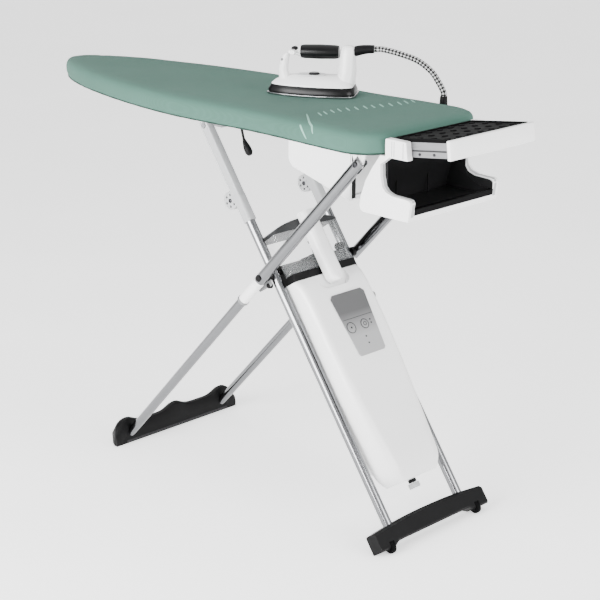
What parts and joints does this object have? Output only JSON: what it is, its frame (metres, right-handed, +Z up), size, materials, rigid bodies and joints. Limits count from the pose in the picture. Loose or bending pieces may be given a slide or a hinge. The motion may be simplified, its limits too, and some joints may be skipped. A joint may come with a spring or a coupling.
{
  "type": "ironing_board",
  "caption": "Folding ironing board on crossed legs with sliding iron rest, storage tub, fan housing, steam generator with lift-out tank and a tethered steam iron.",
  "frame": {"origin": "on the floor, midway along the length and width of the unfolded board", "axes": "+X along the board towards the blunt heel with the iron rest, +Y to the far side where the hose stands, +Z up"},
  "size_m": [1.3882, 0.4085, 1.0304],
  "materials": {
    "mint_cloth": "matte",
    "white_plastic": "satin",
    "grey_plastic": "satin",
    "black_plastic": "matte",
    "chrome_tube": "polished",
    "steel_sheet": "satin",
    "silver_panel": "satin",
    "clear_plastic": "clear",
    "black_silicone": "matte"
  },
  "bodies": {
    "board": {"board_cover": "mint_cloth", "board_deck": "steel_sheet", "board_base": "steel_sheet", "fan_housing": "white_plastic", "fan_outlet_frame": "black_plastic", "carriage_rail_near": "steel_sheet", "carriage_rail_far": "steel_sheet", "pivot_bracket_near": "white_plastic", "pivot_bracket_far": "white_plastic", "tub_shell": "white_plastic", "tub_liner": "black_plastic", "slide_outer_near": "steel_sheet", "slide_outer_far": "steel_sheet", "hose_guide": "black_plastic", "hose": "black_plastic"},
    "fan_impeller": {"fan_impeller": "black_plastic"},
    "iron_rest": {"tray_pan": "steel_sheet", "tray_mat": "black_silicone", "tray_front": "white_plastic"},
    "slide_mid": {"slide_mid_near": "steel_sheet", "slide_mid_far": "steel_sheet"},
    "height_lever": {"height_lever": "black_plastic"},
    "leg_a": {"leg_a_upper_near": "chrome_tube", "leg_a_upper_far": "chrome_tube", "leg_a_sleeve_near": "white_plastic", "leg_a_sleeve_far": "white_plastic", "leg_a_lower_near": "chrome_tube", "leg_a_lower_far": "chrome_tube", "leg_axle": "black_plastic", "steam_line": "black_plastic", "foot_a": "black_plastic"},
    "leg_b": {"leg_b_tube_near": "chrome_tube", "leg_b_tube_far": "chrome_tube", "knuckle_near": "grey_plastic", "knuckle_far": "grey_plastic", "arm_near": "grey_plastic", "arm_far": "grey_plastic", "tank_seat": "black_plastic", "foot_b": "black_plastic", "generator_front": "white_plastic", "generator_back": "white_plastic", "control_panel": "silver_panel", "steam_gland": "grey_plastic"},
    "wheel_near": {"wheel_near": "black_plastic"},
    "wheel_far": {"wheel_far": "black_plastic"},
    "power_button": {"power_button": "silver_panel"},
    "steam_button": {"steam_button": "silver_panel"},
    "drain_cap": {"drain_cap": "grey_plastic"},
    "tank": {"tank_body": "clear_plastic", "tank_lid": "grey_plastic", "tank_grip": "white_plastic", "tank_filter": "black_plastic"},
    "carriage": {"carriage": "steel_sheet"},
    "iron": {"iron_soleplate": "steel_sheet", "iron_skirt": "black_plastic", "iron_body": "white_plastic", "iron_grip": "black_plastic", "iron_cuff": "black_plastic"},
    "iron_trigger": {"iron_trigger": "black_plastic"},
    "iron_dial": {"iron_dial": "black_plastic"}
  },
  "joints": [
    {"name": "leg_a_fold", "type": "hinge", "parent": "board", "child": "leg_a", "pos_m": [0.46639, 0, 0.84373], "axis": [0, 1, 0], "range_deg": [-5.2, 22.5]},
    {"name": "leg_b_cross", "type": "hinge", "parent": "leg_a", "child": "leg_b", "pos_m": [0.1785, 0, 0.5393], "axis": [0, 1, 0], "range_deg": [-50, 11.6]},
    {"name": "carriage_turn", "type": "hinge", "parent": "leg_b", "child": "carriage", "pos_m": [-0.03865, 0, 0.84373], "axis": [0, 1, 0], "range_deg": [-6.4, 27.5]},
    {"name": "iron_rest_slide", "type": "slide", "parent": "board", "child": "iron_rest", "axis": [0.9921, 0, 0.1253], "range_m": [0, 0.1]},
    {"name": "slide_mid_run", "type": "slide", "parent": "board", "child": "slide_mid", "axis": [0.9921, 0, 0.1253], "range_m": [0, 0.051]},
    {"name": "impeller_spin", "type": "hinge", "parent": "board", "child": "fan_impeller", "pos_m": [0.29, 0, 0.8], "axis": [0, 0, 1], "continuous": true},
    {"name": "height_lever_pull", "type": "hinge", "parent": "board", "child": "height_lever", "pos_m": [0.067, -0.11, 0.863], "axis": [0, -1, 0], "range_deg": [0, 16], "stiffness_Nm_per_rad": 0.6},
    {"name": "wheel_near_spin", "type": "hinge", "parent": "leg_b", "child": "wheel_near", "pos_m": [0.564, -0.1425, 0.014], "axis": [0, 1, 0], "continuous": true},
    {"name": "wheel_far_spin", "type": "hinge", "parent": "leg_b", "child": "wheel_far", "pos_m": [0.564, 0.1425, 0.014], "axis": [0, 1, 0], "continuous": true},
    {"name": "power_button_press", "type": "slide", "parent": "leg_b", "child": "power_button", "axis": [-0.8141, 0, -0.5807], "range_m": [0, 0.0012], "stiffness_N_per_m": 400},
    {"name": "steam_button_press", "type": "slide", "parent": "leg_b", "child": "steam_button", "axis": [-0.8141, 0, -0.5807], "range_m": [0, 0.0012], "stiffness_N_per_m": 400},
    {"name": "drain_cap_turn", "type": "hinge", "parent": "leg_b", "child": "drain_cap", "pos_m": [0.5033, -0.004, 0.10117], "axis": [-0.5807, 0, 0.8141], "range_deg": [0, 270]},
    {"name": "tank_lift", "type": "slide", "parent": "leg_b", "child": "tank", "axis": [-0.5807, 0, 0.8141], "range_m": [0, 0.09]},
    {"name": "iron_glide", "type": "slide", "parent": "board", "child": "iron", "axis": [-1, 0, 0], "range_m": [0, 0.1]},
    {"name": "iron_trigger_press", "type": "slide", "parent": "iron", "child": "iron_trigger", "axis": [-0.5878, 0.809, 0], "range_m": [0, 0.0012], "stiffness_N_per_m": 200},
    {"name": "iron_dial_turn", "type": "hinge", "parent": "iron", "child": "iron_dial", "pos_m": [0.14345, 0.04323, 0.9617], "axis": [0, 0, 1], "range_deg": [0, 270]}
  ],
  "couplings": [
    {"joint": "leg_b_cross", "follows": "leg_a_fold", "ratio": -2.22},
    {"joint": "carriage_turn", "follows": "leg_a_fold", "ratio": 1.22},
    {"joint": "slide_mid_run", "follows": "iron_rest_slide", "ratio": 0.5}
  ]
}
